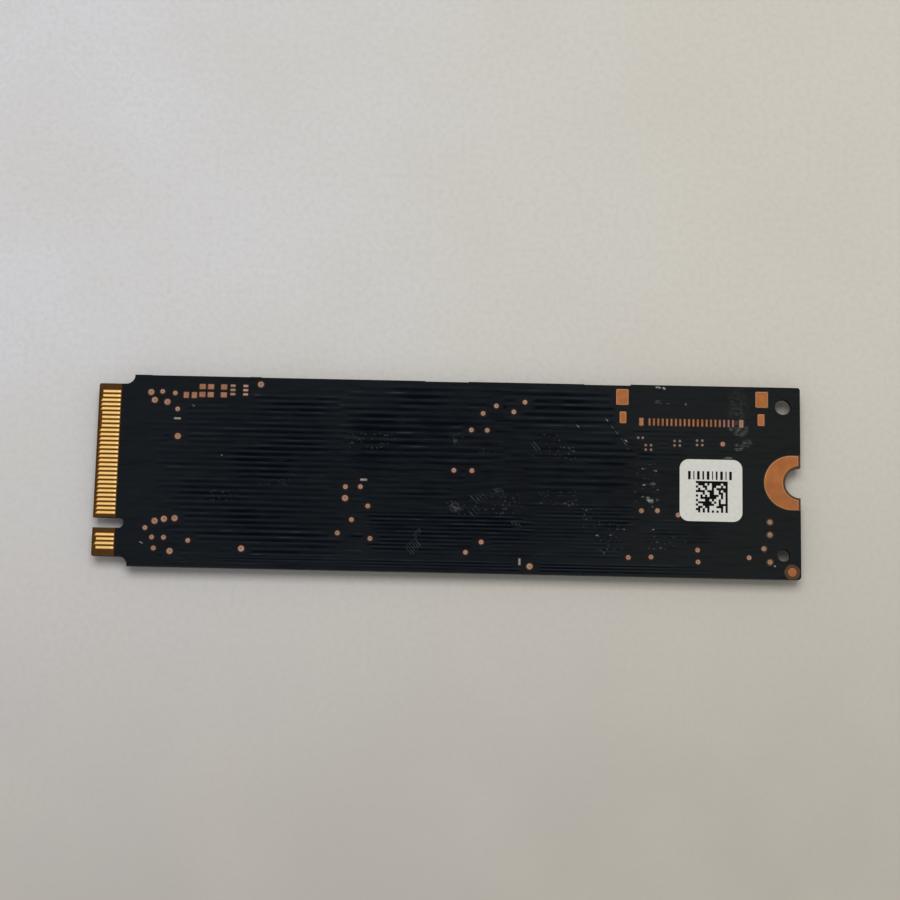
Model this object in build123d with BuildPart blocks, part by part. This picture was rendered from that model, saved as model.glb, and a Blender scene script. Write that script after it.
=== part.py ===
from build123d import *

import os

# Solid-state drive card, 22 by 80 mm, with an M key, in millimetres.
# It lies as on a table: rear face up, standing on the tallest packages of the front face underneath.
# X runs along the card from the contact edge to the screw end, Y across it and Z up.

# Edge contacts: odd pins are on the front face, even pins on the rear, and the key takes the place of some
last_pin = 75
key_first_pin = 59
key_last_pin = 66
supply_pins = (2, 4, 12, 14, 16, 18, 70, 74)
ground_pins = (1, 3, 9, 15, 21, 27, 33, 39, 45, 51, 57, 71, 73, 75)
contact_pitch = 0.5
contact_width = 0.35
contact_thickness = 0.04
contact_square_end = 0.45
contact_inner_end = 2.55

# Card outline, with the upper edge stepped where it was routed in several passes
card_length = 80.0
tongue_length = 4.05
tongue_margin = 0.5
tongue_corner_radius = 0.2
shoulder_step = 1.075
shoulder_flat = 0.075
card_corner_radius = 0.3
key_width = 1.2
key_depth = 3.5
bevel_length = 0.22
bevel_depth = 0.1
screw_notch_radius = 1.75
tooling_hole_inset = 1.95
upper_tooling_diameter = 1.8
upper_tooling_drop = 2.25
lower_tooling_diameter = 1.4
lower_tooling_rise = 2.7
routed_spans = (
    (6.0, 17.2, 0.03),
    (18.5, 37.2, 0.06),
    (37.2, 42.2, 0.12),
    (42.2, 55.4, 0.06),
    (55.4, 60.7, 0.12),
)

# Layers
laminate_thickness = 0.73
mask_thickness = 0.035
land_thickness = 0.03
mask_start = 2.6
mask_clearance = 0.05
label_thickness = 0.08

# Bare lands of the rear face
screw_land_radius = 3.1
screw_land_inset = 1.0
screw_land_end_gap = 0.25
screw_land_notch_gap = 0.25
screw_window_margin = 0.1
fiducial_diameter = 1.0
fiducial_window_diameter = 1.8
fiducial_inset = 1.0
fiducial_rise = 0.8
small_pad_width = 0.62
large_pad_width = 0.78
pad_sides = 8
chip_land_length = 0.68
chip_land_width = 0.78
chip_land_spacing = 0.92
six_lead_land_length = 0.6
six_lead_land_width = 0.3
six_lead_spacing = 1.46
six_lead_pitch = 0.49
small_land_side = 0.3
small_land_spacing = 0.52
array_land_spacing = 0.6
socket_ways = 20
socket_row_inset = 12.38
socket_row_drop = 4.3
socket_pitch = 0.5
socket_land_width = 0.3
socket_land_length = 0.92
socket_end_width = 0.58
socket_end_length = 1.0
socket_end_spacing = 11.37
socket_anchor_inset = 12.3
socket_anchor_drop = 1.45
socket_anchor_width = 1.45
socket_anchor_length = 1.88
socket_anchor_spacing = 15.88
socket_tab_drop = 3.82
socket_tab_width = 0.8
socket_tab_length = 1.4
socket_tab_spacing = 15.71

# Label
label_side = 7.1
label_corner_radius = 1.05
label_from_screw_end = 10.15
label_drop = 1.07

# Moulded packages of the front face: lengths run along the card and widths across it
flash_length = 12.0
flash_width = 18.0
flash_height = 1.2
memory_length = 7.5
memory_width = 13.3
memory_height = 1.1
controller_length = 14.0
controller_width = 14.0
controller_height = 1.15

# Power parts and the small packages of the front face
part_gap = 0.6
power_zone_start = 5.7
power_zone_gap = 2.6
screw_zone_length = 6.5
inductor_count = 3
inductor_length = 2.5
inductor_width = 2.0
inductor_height = 1.0
inductor_corner = 0.25
inductor_row_drop = 3.0
inductor_terminal_length = 0.7
inductor_terminal_thickness = 0.1
power_manager_side = 4.0
power_manager_height = 0.75
power_manager_leads_per_side = 5
load_switch_side = 2.0
load_switch_height = 0.6
load_switch_leads_per_side = 3
boot_memory_length = 3.0
boot_memory_width = 2.0
boot_memory_height = 0.55
boot_memory_leads_per_side = 4
lead_pitch = 0.5
lead_length = 0.35
lead_width = 0.24
lead_thickness = 0.1
lead_reach = 0.1
crystal_length = 2.5
crystal_width = 2.0
crystal_base_height = 0.35
crystal_lid_margin = 0.15
crystal_lid_height = 0.2

# Two-ended chip parts
bulk_length = 2.0
bulk_width = 1.25
bulk_height = 0.95
bulk_end = 0.4
small_chip_length = 1.0
small_chip_width = 0.5
small_chip_end = 0.25
capacitor_height = 0.5
resistor_height = 0.35
fuse_length = 3.2
fuse_width = 1.6
fuse_height = 0.6
fuse_end = 0.5
chip_end_wall = 0.02
coupling_count = 8
bypass_pitch = 2.6
bypass_column_counts = (5, 4, 4)
controller_row_count = 4
resistor_row_count = 3

# Edges and levels worked out from the sizes above
tongue_width = (last_pin - 1) * contact_pitch / 2 + contact_width + 2 * tongue_margin
card_width = tongue_width + 2 * shoulder_step
contact_edge = -card_length / 2
screw_end = card_length / 2
upper_edge = card_width / 2
lower_edge = -card_width / 2
key_centre = (last_pin + 1 - key_first_pin - key_last_pin) * contact_pitch / 4
inductor_stack = inductor_terminal_thickness + inductor_height
front_face = max(flash_height, memory_height, controller_height, inductor_stack)
front_laminate = front_face + mask_thickness
rear_laminate = front_laminate + laminate_thickness
rear_face = rear_laminate + mask_thickness


def pin_y(pin):
    """Place of a contact across the card."""
    return ((last_pin + 1) / 2 - pin) * contact_pitch / 2


def beside(x, y, *offsets):
    """Points measured from a corner or an edge of the card."""
    return [(x + along, y + up) for along, up in offsets]


# Places of the bare lands, each measured from the edges that it lies nearest to
small_pads = [
    *beside(contact_edge, upper_edge, (7.25, -1.9), (8.7, -2.05), (9.05, -3.9)),
    *beside(contact_edge, lower_edge, (5.95, 4.35), (6.75, 3.3), (8.1, 3.3), (7.0, 2.05), (10.85, 3.0)),
    *beside(contact_edge, 0, (28.45, -1.5), (30.15, -1.45), (31.05, -3.65), (29.25, -5.25), (27.7, -6.8)),
    *beside(contact_edge, 0, (31.4, -7.35), (40.7, 0.65), (42.75, 0.65), (42.6, 5.35), (44.4, 5.35)),
    *beside(contact_edge, upper_edge, (43.9, -3.7), (45.4, -2.8), (47.4, -3.45), (48.65, -2.3)),
    *beside(contact_edge, lower_edge, (43.95, 3.5), (42.2, 2.3)),
    *beside(screw_end, 0, (-18.0, -3.55), (-16.2, -3.5), (-13.85, -3.95), (-8.8, 4.3), (-3.5, -4.55)),
    *beside(screw_end, lower_edge, (-19.45, 2.1), (-16.9, 2.2), (-11.65, 3.1), (-11.6, 1.75)),
    *beside(screw_end, lower_edge, (-5.85, 2.35), (-4.2, 3.4), (-3.5, 5.0), (-3.5, 1.9)),
]
large_pads = [
    *beside(contact_edge, upper_edge, (5.95, -2.0), (6.4, -2.9), (7.85, -3.1), (9.2, -7.05), (18.45, -0.85)),
    *beside(contact_edge, lower_edge, (7.0, 5.15), (8.05, 5.4), (9.25, 5.5), (8.85, 1.75), (16.9, 2.2)),
    *beside(contact_edge, 0, (28.45, -2.8)),
    *beside(contact_edge, lower_edge, (49.45, 0.85)),
]
upright_chips = beside(contact_edge, upper_edge, (11.8, -1.7), (12.75, -1.7), (14.25, -1.7))
level_chips = beside(contact_edge, upper_edge, (10.43, -2.25))
six_lead_parts = beside(contact_edge, upper_edge, (16.0, -1.56))
four_land_arrays = beside(screw_end, upper_edge, (-17.25, -7.25), (-13.98, -6.7), (-11.42, -6.6))
level_small_parts = [
    *beside(contact_edge, upper_edge, (9.07, -5.0)),
    *beside(contact_edge, 0, (30.5, -0.65)),
    *beside(screw_end, upper_edge, (-18.15, -6.15)),
]
upright_small_parts = beside(contact_edge, lower_edge, (48.3, 1.35))
socket_row = (screw_end - socket_row_inset, upper_edge - socket_row_drop)
socket_anchors = (screw_end - socket_anchor_inset, upper_edge - socket_anchor_drop)
socket_tabs = (screw_end - socket_anchor_inset, upper_edge - socket_tab_drop)
fiducial_place = (screw_end - fiducial_inset, lower_edge + fiducial_rise)
label_place = (screw_end - label_from_screw_end, -label_drop)

# Outline of the card with its shoulders, key notch, screw notch and tooling holes
with BuildSketch() as card_face:
    with Locations((contact_edge + tongue_length, 0)):
        Rectangle(card_length - tongue_length, card_width, align=(Align.MIN, Align.CENTER))
    with Locations((contact_edge, 0)):
        Rectangle(tongue_length, tongue_width, align=(Align.MIN, Align.CENTER))
    root_corners = card_face.vertices().group_by(Axis.X)[1]
    fillet(root_corners.sort_by(lambda corner: abs(corner.Y))[:2], shoulder_step - shoulder_flat)
    fillet(card_face.vertices().group_by(Axis.X)[0], tongue_corner_radius)
    fillet(card_face.vertices().group_by(Axis.X)[-1], card_corner_radius)
    for start, end, depth in routed_spans:
        with Locations((contact_edge + start, upper_edge)):
            Rectangle(end - start, 2 * depth, align=(Align.MIN, Align.CENTER), mode=Mode.SUBTRACT)
    with Locations((contact_edge, key_centre)):
        Rectangle(2 * (key_depth - key_width / 2), key_width, mode=Mode.SUBTRACT)
    with Locations((contact_edge + key_depth - key_width / 2, key_centre)):
        Circle(key_width / 2, mode=Mode.SUBTRACT)
    with Locations((screw_end, 0)):
        Circle(screw_notch_radius, mode=Mode.SUBTRACT)
    with Locations((screw_end - tooling_hole_inset, upper_edge - upper_tooling_drop)):
        Circle(upper_tooling_diameter / 2, mode=Mode.SUBTRACT)
    with Locations((screw_end - tooling_hole_inset, lower_edge + lower_tooling_rise)):
        Circle(lower_tooling_diameter / 2, mode=Mode.SUBTRACT)

# Glass-fibre laminate, with both edges of its contact end bevelled
with BuildPart() as board_laminate:
    with BuildSketch(Plane.XY.offset(front_laminate)):
        add(card_face.sketch)
    extrude(amount=laminate_thickness)
    with BuildSketch(Plane.XZ):
        for face, inwards in ((rear_laminate, -bevel_depth), (front_laminate, bevel_depth)):
            Polygon(
                (contact_edge, face),
                (contact_edge + bevel_length, face),
                (contact_edge, face + inwards),
                align=None,
            )
    extrude(amount=tongue_width, both=True, mode=Mode.SUBTRACT)


def draw_contacts(pins):
    """Contact strips: supply and ground pins end square, the others keep a slanted stub of plating."""
    for pin in pins:
        square = pin in supply_pins or pin in ground_pins
        with Locations((contact_edge, pin_y(pin))):
            Polygon(
                (contact_square_end if square else bevel_length, -contact_width / 2),
                (contact_inner_end, -contact_width / 2),
                (contact_inner_end, contact_width / 2),
                (contact_square_end, contact_width / 2),
                align=None,
            )


# Gilt contacts, in a long and a short row on each face
with BuildPart() as rear_main_contacts:
    with BuildSketch(Plane.XY.offset(rear_laminate)):
        draw_contacts(range(2, key_first_pin, 2))
    extrude(amount=contact_thickness)

with BuildPart() as rear_key_contacts:
    with BuildSketch(Plane.XY.offset(rear_laminate)):
        draw_contacts(range(key_last_pin + 2, last_pin, 2))
    extrude(amount=contact_thickness)

with BuildPart() as front_main_contacts:
    with BuildSketch(Plane.XY.offset(front_laminate)):
        draw_contacts(range(1, key_first_pin, 2))
    extrude(amount=-contact_thickness)

with BuildPart() as front_key_contacts:
    with BuildSketch(Plane.XY.offset(front_laminate)):
        draw_contacts(range(key_last_pin + 1, last_pin + 1, 2))
    extrude(amount=-contact_thickness)

# Copper land of the screw notch: a round with straight sides, held back from the notch and the end
with BuildSketch() as screw_land_face:
    with Locations((screw_end - screw_land_inset, 0)):
        Circle(screw_land_radius)
        Rectangle(screw_land_inset, 2 * screw_land_radius, align=(Align.MIN, Align.CENTER))
    with Locations((screw_end - screw_land_end_gap, 0)):
        Rectangle(
            screw_land_radius,
            2 * screw_land_radius,
            align=(Align.MIN, Align.CENTER),
            mode=Mode.SUBTRACT,
        )
    with Locations((screw_end, 0)):
        Circle(screw_notch_radius + screw_land_notch_gap, mode=Mode.SUBTRACT)

with BuildPart() as rear_screw_land:
    with BuildSketch(Plane.XY.offset(rear_laminate)):
        add(screw_land_face.sketch)
    extrude(amount=land_thickness)

with BuildPart() as front_screw_land:
    with BuildSketch(Plane.XY.offset(front_laminate)):
        add(screw_land_face.sketch)
    extrude(amount=-land_thickness)


def draw_land(length, width, margin, mode):
    """One oblong land, or with a margin its window in the lacquer."""
    Rectangle(length + 2 * margin, width + 2 * margin, mode=mode)


def draw_test_pads(margin=0.0, mode=Mode.ADD):
    """Test pads, or with a margin their windows: there are so many that each is a polygon."""
    for places, width in ((small_pads, small_pad_width), (large_pads, large_pad_width)):
        with Locations(*places):
            RegularPolygon(width / 2 + margin, pad_sides, major_radius=False, mode=mode)


def draw_spare_part_lands(margin=0.0, mode=Mode.ADD):
    """Lands of the chip parts and of the six-lead part that were never fitted."""
    with Locations(*upright_chips):
        with GridLocations(0, chip_land_spacing, 1, 2):
            draw_land(chip_land_width, chip_land_length, margin, mode)
    with Locations(*level_chips):
        with GridLocations(chip_land_spacing, 0, 2, 1):
            draw_land(chip_land_length, chip_land_width, margin, mode)
    with Locations(*six_lead_parts):
        with GridLocations(six_lead_spacing, six_lead_pitch, 2, 3):
            draw_land(six_lead_land_length, six_lead_land_width, margin, mode)


def draw_small_part_lands(margin=0.0, mode=Mode.ADD):
    """Lands of the smallest parts, in pairs and in fours."""
    with Locations(*four_land_arrays):
        with GridLocations(array_land_spacing, small_land_spacing, 2, 2):
            draw_land(small_land_side, small_land_side, margin, mode)
    with Locations(*level_small_parts):
        with GridLocations(small_land_spacing, 0, 2, 1):
            draw_land(small_land_side, small_land_side, margin, mode)
    with Locations(*upright_small_parts):
        with GridLocations(0, small_land_spacing, 1, 2):
            draw_land(small_land_side, small_land_side, margin, mode)


def draw_socket_lands(margin=0.0, mode=Mode.ADD):
    """Lands of the ribbon-cable socket: its ways, the two end lands, the anchors and their tabs."""
    with Locations(socket_row):
        with GridLocations(socket_pitch, 0, socket_ways, 1):
            draw_land(socket_land_width, socket_land_length, margin, mode)
        with GridLocations(socket_end_spacing, 0, 2, 1):
            draw_land(socket_end_width, socket_end_length, margin, mode)
    with Locations(socket_anchors):
        with GridLocations(socket_anchor_spacing, 0, 2, 1):
            draw_land(socket_anchor_width, socket_anchor_length, margin, mode)
    with Locations(socket_tabs):
        with GridLocations(socket_tab_spacing, 0, 2, 1):
            draw_land(socket_tab_width, socket_tab_length, margin, mode)


with BuildPart() as rear_test_pads:
    with BuildSketch(Plane.XY.offset(rear_laminate)):
        draw_test_pads()
    extrude(amount=land_thickness)

with BuildPart() as spare_part_lands:
    with BuildSketch(Plane.XY.offset(rear_laminate)):
        draw_spare_part_lands()
    extrude(amount=land_thickness)

with BuildPart() as small_part_lands:
    with BuildSketch(Plane.XY.offset(rear_laminate)):
        draw_small_part_lands()
    extrude(amount=land_thickness)

with BuildPart() as spare_socket_lands:
    with BuildSketch(Plane.XY.offset(rear_laminate)):
        draw_socket_lands()
    extrude(amount=land_thickness)

with BuildPart() as corner_fiducial:
    with BuildSketch(Plane.XY.offset(rear_laminate)):
        with Locations(fiducial_place):
            Circle(fiducial_diameter / 2)
    extrude(amount=land_thickness)

# Lacquer of both faces, which leaves the contacts and the screw land bare
with BuildSketch() as lacquer_face:
    add(card_face.sketch)
    with Locations((contact_edge, 0)):
        Rectangle(2 * mask_start, card_width, mode=Mode.SUBTRACT)
    with Locations((screw_end - screw_land_inset, 0)):
        window_radius = screw_land_radius + screw_window_margin
        Circle(window_radius, mode=Mode.SUBTRACT)
    with Locations((screw_end, 0)):
        Rectangle(2 * screw_land_inset, 2 * window_radius, mode=Mode.SUBTRACT)

with BuildPart() as rear_solder_mask:
    with BuildSketch(Plane.XY.offset(rear_laminate)):
        add(lacquer_face.sketch)
        with Locations(fiducial_place):
            Circle(fiducial_window_diameter / 2, mode=Mode.SUBTRACT)
        draw_test_pads(mask_clearance, Mode.SUBTRACT)
        draw_spare_part_lands(mask_clearance, Mode.SUBTRACT)
        draw_small_part_lands(mask_clearance, Mode.SUBTRACT)
        draw_socket_lands(mask_clearance, Mode.SUBTRACT)
    extrude(amount=mask_thickness)

with BuildPart() as front_solder_mask:
    with BuildSketch(Plane.XY.offset(front_laminate)):
        add(lacquer_face.sketch)
    extrude(amount=-mask_thickness)

# Paper label on the rear lacquer
with BuildPart() as rear_label:
    with BuildSketch(Plane.XY.offset(rear_face)):
        with Locations(label_place):
            RectangleRounded(label_side, label_side, label_corner_radius)
    extrude(amount=label_thickness)


def moulded_package(x, length, width, height):
    """Sawn moulded package on the card's middle line."""
    with BuildPart() as package:
        with BuildSketch(Plane.XY.offset(front_face)):
            with Locations((x, 0)):
                Rectangle(length, width)
        extrude(amount=-height)
    return package


# The power parts fill the first stretch of the front face, then come the four packages, evenly spaced
power_zone_length = inductor_count * inductor_length + (inductor_count - 1) * part_gap
power_x = contact_edge + power_zone_start + power_zone_length / 2
packages_start = contact_edge + power_zone_start + power_zone_length + power_zone_gap
packages_end = screw_end - screw_zone_length
packages_length = 2 * flash_length + memory_length + controller_length
package_gap = (packages_end - packages_start - packages_length) / 3
inner_flash_x = packages_start + flash_length / 2
memory_x = inner_flash_x + (flash_length + memory_length) / 2 + package_gap
controller_x = memory_x + (memory_length + controller_length) / 2 + package_gap
outer_flash_x = packages_end - flash_length / 2

flash_memory_inner = moulded_package(inner_flash_x, flash_length, flash_width, flash_height)
working_memory = moulded_package(memory_x, memory_length, memory_width, memory_height)
controller = moulded_package(controller_x, controller_length, controller_width, controller_height)
flash_memory_outer = moulded_package(outer_flash_x, flash_length, flash_width, flash_height)


def draw_leads(place, reach, count, turns):
    """Lead strips of a leadless package, along each side that a turn names."""
    for turn in turns:
        with Locations(Location((*place, 0), (0, 0, turn))):
            with Locations((reach - lead_length / 2, 0)):
                with GridLocations(0, lead_pitch, 1, count):
                    Rectangle(lead_length, lead_width)


def leadless_package(place, length, width, height, count, turns):
    """Moulded body and the soldered leads that it stands on, whose tips reach out from under its sides."""
    with BuildPart() as leads:
        with BuildSketch(Plane.XY.offset(front_face)):
            draw_leads(place, length / 2 + lead_reach, count, turns)
        extrude(amount=-lead_thickness)
    with BuildPart() as body:
        with BuildSketch(Plane.XY.offset(front_face - lead_thickness)):
            with Locations(place):
                Rectangle(length, width)
        extrude(amount=-(height - lead_thickness))
    return body, leads


def chip_parts(places, turn, length, width, height, end):
    """Bodies and metal ends of like two-ended chip parts, lying along the card or turned across it."""
    locations = [Location((*place, 0), (0, 0, turn)) for place in places]
    with BuildPart() as bodies:
        with BuildSketch(Plane.XY.offset(front_face - chip_end_wall)):
            with Locations(*locations):
                Rectangle(length - 2 * end, width - 2 * chip_end_wall)
        extrude(amount=-(height - 2 * chip_end_wall))
    with BuildPart() as ends:
        with BuildSketch(Plane.XY.offset(front_face)):
            with Locations(*locations):
                with GridLocations(length - end, 0, 2, 1):
                    Rectangle(end, width)
        extrude(amount=-height)
    return bodies, ends


def row(count, pitch):
    """Places of a row of equally spaced items about its middle."""
    return [(index - (count - 1) / 2) * pitch for index in range(count)]


# Power inductors side by side, each on two terminals
inductor_y = upper_edge - inductor_row_drop
inductor_xs = [power_x + along for along in row(inductor_count, inductor_length + part_gap)]

with BuildPart() as inductor_terminals:
    with BuildSketch(Plane.XY.offset(front_face)):
        with Locations(*[(x, inductor_y) for x in inductor_xs]):
            with GridLocations(inductor_length - inductor_terminal_length, 0, 2, 1):
                Rectangle(inductor_terminal_length, inductor_width - 2 * inductor_corner)
    extrude(amount=-inductor_terminal_thickness)


def power_inductor(x):
    """Pressed inductor with its upright edges cut off."""
    with BuildPart() as inductor:
        with BuildSketch(Plane.XY.offset(front_face - inductor_terminal_thickness)):
            with Locations((x, inductor_y)):
                Rectangle(inductor_length, inductor_width)
        extrude(amount=-inductor_height)
        chamfer(inductor.edges().filter_by(Axis.Z), inductor_corner)
    return inductor


power_inductors = [power_inductor(x) for x in inductor_xs]

# Across the card from the inductors: output capacitors, power manager, input capacitors, switch and fuse
output_y = inductor_y - inductor_width / 2 - part_gap - bulk_width / 2
manager_y = output_y - bulk_width / 2 - part_gap - power_manager_side / 2
input_y = manager_y - power_manager_side / 2 - part_gap - bulk_width / 2
switch_y = input_y - bulk_width / 2 - part_gap - load_switch_side / 2
fuse_y = switch_y - load_switch_side / 2 - part_gap - fuse_width / 2
coupling_y = fuse_y - fuse_width / 2 - part_gap - small_chip_length / 2
bulk_places = [(x, y) for x in inductor_xs for y in (output_y, input_y)]
coupling_xs = [power_x + along for along in row(coupling_count, power_zone_length / coupling_count)]
coupling_places = [(x, coupling_y) for x in coupling_xs]

power_manager, power_manager_leads = leadless_package(
    (power_x, manager_y),
    power_manager_side,
    power_manager_side,
    power_manager_height,
    power_manager_leads_per_side,
    (0, 90, 180, 270),
)
load_switch, load_switch_leads = leadless_package(
    (power_x, switch_y),
    load_switch_side,
    load_switch_side,
    load_switch_height,
    load_switch_leads_per_side,
    (0, 180),
)
bulk_capacitor_bodies, bulk_capacitor_ends = chip_parts(
    bulk_places, 0, bulk_length, bulk_width, bulk_height, bulk_end
)
input_fuse_body, input_fuse_ends = chip_parts(
    [(power_x, fuse_y)], 0, fuse_length, fuse_width, fuse_height, fuse_end
)
coupling_capacitor_bodies, coupling_capacitor_ends = chip_parts(
    coupling_places, 90, small_chip_length, small_chip_width, capacitor_height, small_chip_end
)

# Bypass capacitors in a column between each two packages and in a row on each side of the controller
gap_xs = (
    memory_x - (memory_length + package_gap) / 2,
    controller_x - (controller_length + package_gap) / 2,
    controller_x + (controller_length + package_gap) / 2,
)
controller_row_y = controller_width / 2 + part_gap + small_chip_length / 2
bypass_places = [(x, y) for x, count in zip(gap_xs, bypass_column_counts) for y in row(count, bypass_pitch)]
bypass_places += [
    (controller_x + along, side * controller_row_y)
    for along in row(controller_row_count, bypass_pitch)
    for side in (-1, 1)
]
bypass_capacitor_bodies, bypass_capacitor_ends = chip_parts(
    bypass_places, 90, small_chip_length, small_chip_width, capacitor_height, small_chip_end
)

# Resistors in a row on each side of both flash packages
resistor_y = flash_width / 2 + part_gap + small_chip_width / 2
resistor_places = [
    (flash_x + along, side * resistor_y)
    for flash_x in (inner_flash_x, outer_flash_x)
    for along in row(resistor_row_count, bypass_pitch)
    for side in (-1, 1)
]
resistor_bodies, resistor_ends = chip_parts(
    resistor_places, 0, small_chip_length, small_chip_width, resistor_height, small_chip_end
)

# The crystal and the boot memory, one on each side of the working memory
crystal_y = memory_width / 2 + part_gap + crystal_width / 2
boot_y = -(memory_width + boot_memory_width) / 2 - part_gap

with BuildPart() as crystal_base:
    with BuildSketch(Plane.XY.offset(front_face)):
        with Locations((memory_x, crystal_y)):
            Rectangle(crystal_length, crystal_width)
    extrude(amount=-crystal_base_height)

with BuildPart() as crystal_lid:
    with BuildSketch(Plane.XY.offset(front_face - crystal_base_height)):
        with Locations((memory_x, crystal_y)):
            Rectangle(crystal_length - 2 * crystal_lid_margin, crystal_width - 2 * crystal_lid_margin)
    extrude(amount=-crystal_lid_height)

boot_memory, boot_memory_leads = leadless_package(
    (memory_x, boot_y),
    boot_memory_length,
    boot_memory_width,
    boot_memory_height,
    boot_memory_leads_per_side,
    (0, 180),
)

pieces = {
    "board_laminate": board_laminate,
    "rear_solder_mask": rear_solder_mask,
    "front_solder_mask": front_solder_mask,
    "rear_main_contacts": rear_main_contacts,
    "rear_key_contacts": rear_key_contacts,
    "front_main_contacts": front_main_contacts,
    "front_key_contacts": front_key_contacts,
    "rear_screw_land": rear_screw_land,
    "front_screw_land": front_screw_land,
    "corner_fiducial": corner_fiducial,
    "rear_test_pads": rear_test_pads,
    "spare_part_lands": spare_part_lands,
    "small_part_lands": small_part_lands,
    "spare_socket_lands": spare_socket_lands,
    "rear_label": rear_label,
    "controller": controller,
    "working_memory": working_memory,
    "flash_memory_inner": flash_memory_inner,
    "flash_memory_outer": flash_memory_outer,
    "power_manager": power_manager,
    "power_manager_leads": power_manager_leads,
    "load_switch": load_switch,
    "load_switch_leads": load_switch_leads,
    "boot_memory": boot_memory,
    "boot_memory_leads": boot_memory_leads,
    "inductor_terminals": inductor_terminals,
    "bulk_capacitor_bodies": bulk_capacitor_bodies,
    "bulk_capacitor_ends": bulk_capacitor_ends,
    "coupling_capacitor_bodies": coupling_capacitor_bodies,
    "coupling_capacitor_ends": coupling_capacitor_ends,
    "bypass_capacitor_bodies": bypass_capacitor_bodies,
    "bypass_capacitor_ends": bypass_capacitor_ends,
    "resistor_bodies": resistor_bodies,
    "resistor_ends": resistor_ends,
    "input_fuse_body": input_fuse_body,
    "input_fuse_ends": input_fuse_ends,
    "crystal_base": crystal_base,
    "crystal_lid": crystal_lid,
}
for number, inductor in enumerate(power_inductors, start=1):
    pieces[f"power_inductor_{number}"] = inductor

os.makedirs("parts", exist_ok=True)
for name, piece in pieces.items():
    piece.part.label = name
    export_step(piece.part, f"parts/{name}.step")
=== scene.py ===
import math
import random

import bmesh
import bpy
from mathutils import Matrix, Vector, noise


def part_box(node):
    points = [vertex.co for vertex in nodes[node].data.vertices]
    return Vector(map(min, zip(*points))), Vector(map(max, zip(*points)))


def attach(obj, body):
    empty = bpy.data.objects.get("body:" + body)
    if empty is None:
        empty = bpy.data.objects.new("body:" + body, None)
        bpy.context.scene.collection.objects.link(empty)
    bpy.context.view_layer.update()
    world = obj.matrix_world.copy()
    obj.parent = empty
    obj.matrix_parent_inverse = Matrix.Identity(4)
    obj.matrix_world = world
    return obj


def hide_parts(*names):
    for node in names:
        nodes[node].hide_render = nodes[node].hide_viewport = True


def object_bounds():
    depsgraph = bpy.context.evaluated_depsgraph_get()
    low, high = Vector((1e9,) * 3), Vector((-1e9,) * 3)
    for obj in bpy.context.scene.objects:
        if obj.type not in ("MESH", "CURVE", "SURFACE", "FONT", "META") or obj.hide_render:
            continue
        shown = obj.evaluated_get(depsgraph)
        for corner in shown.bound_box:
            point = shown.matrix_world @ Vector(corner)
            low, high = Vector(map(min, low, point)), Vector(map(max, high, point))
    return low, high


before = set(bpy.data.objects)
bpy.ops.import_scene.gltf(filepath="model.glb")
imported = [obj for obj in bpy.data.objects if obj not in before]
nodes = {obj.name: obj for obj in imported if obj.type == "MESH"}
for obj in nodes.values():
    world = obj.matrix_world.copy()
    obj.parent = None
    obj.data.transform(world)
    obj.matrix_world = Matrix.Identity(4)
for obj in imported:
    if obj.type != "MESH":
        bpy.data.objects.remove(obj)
cad_low, cad_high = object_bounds()

# Board: one sheet of glass cloth and brown resin, pressed, then routed to its outline with the contact end
# bevelled. It is bare on the contact tongue, in the windows of the lacquer and along its cut edges.
mm = 0.001
thread_pitch = 0.42
# Where the resin's tone changes along the card: behind the tongue, and near the screw
tongue_fade = (-37.5, -37.3)
screw_end_fade = (35.6, 36.0)


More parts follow.
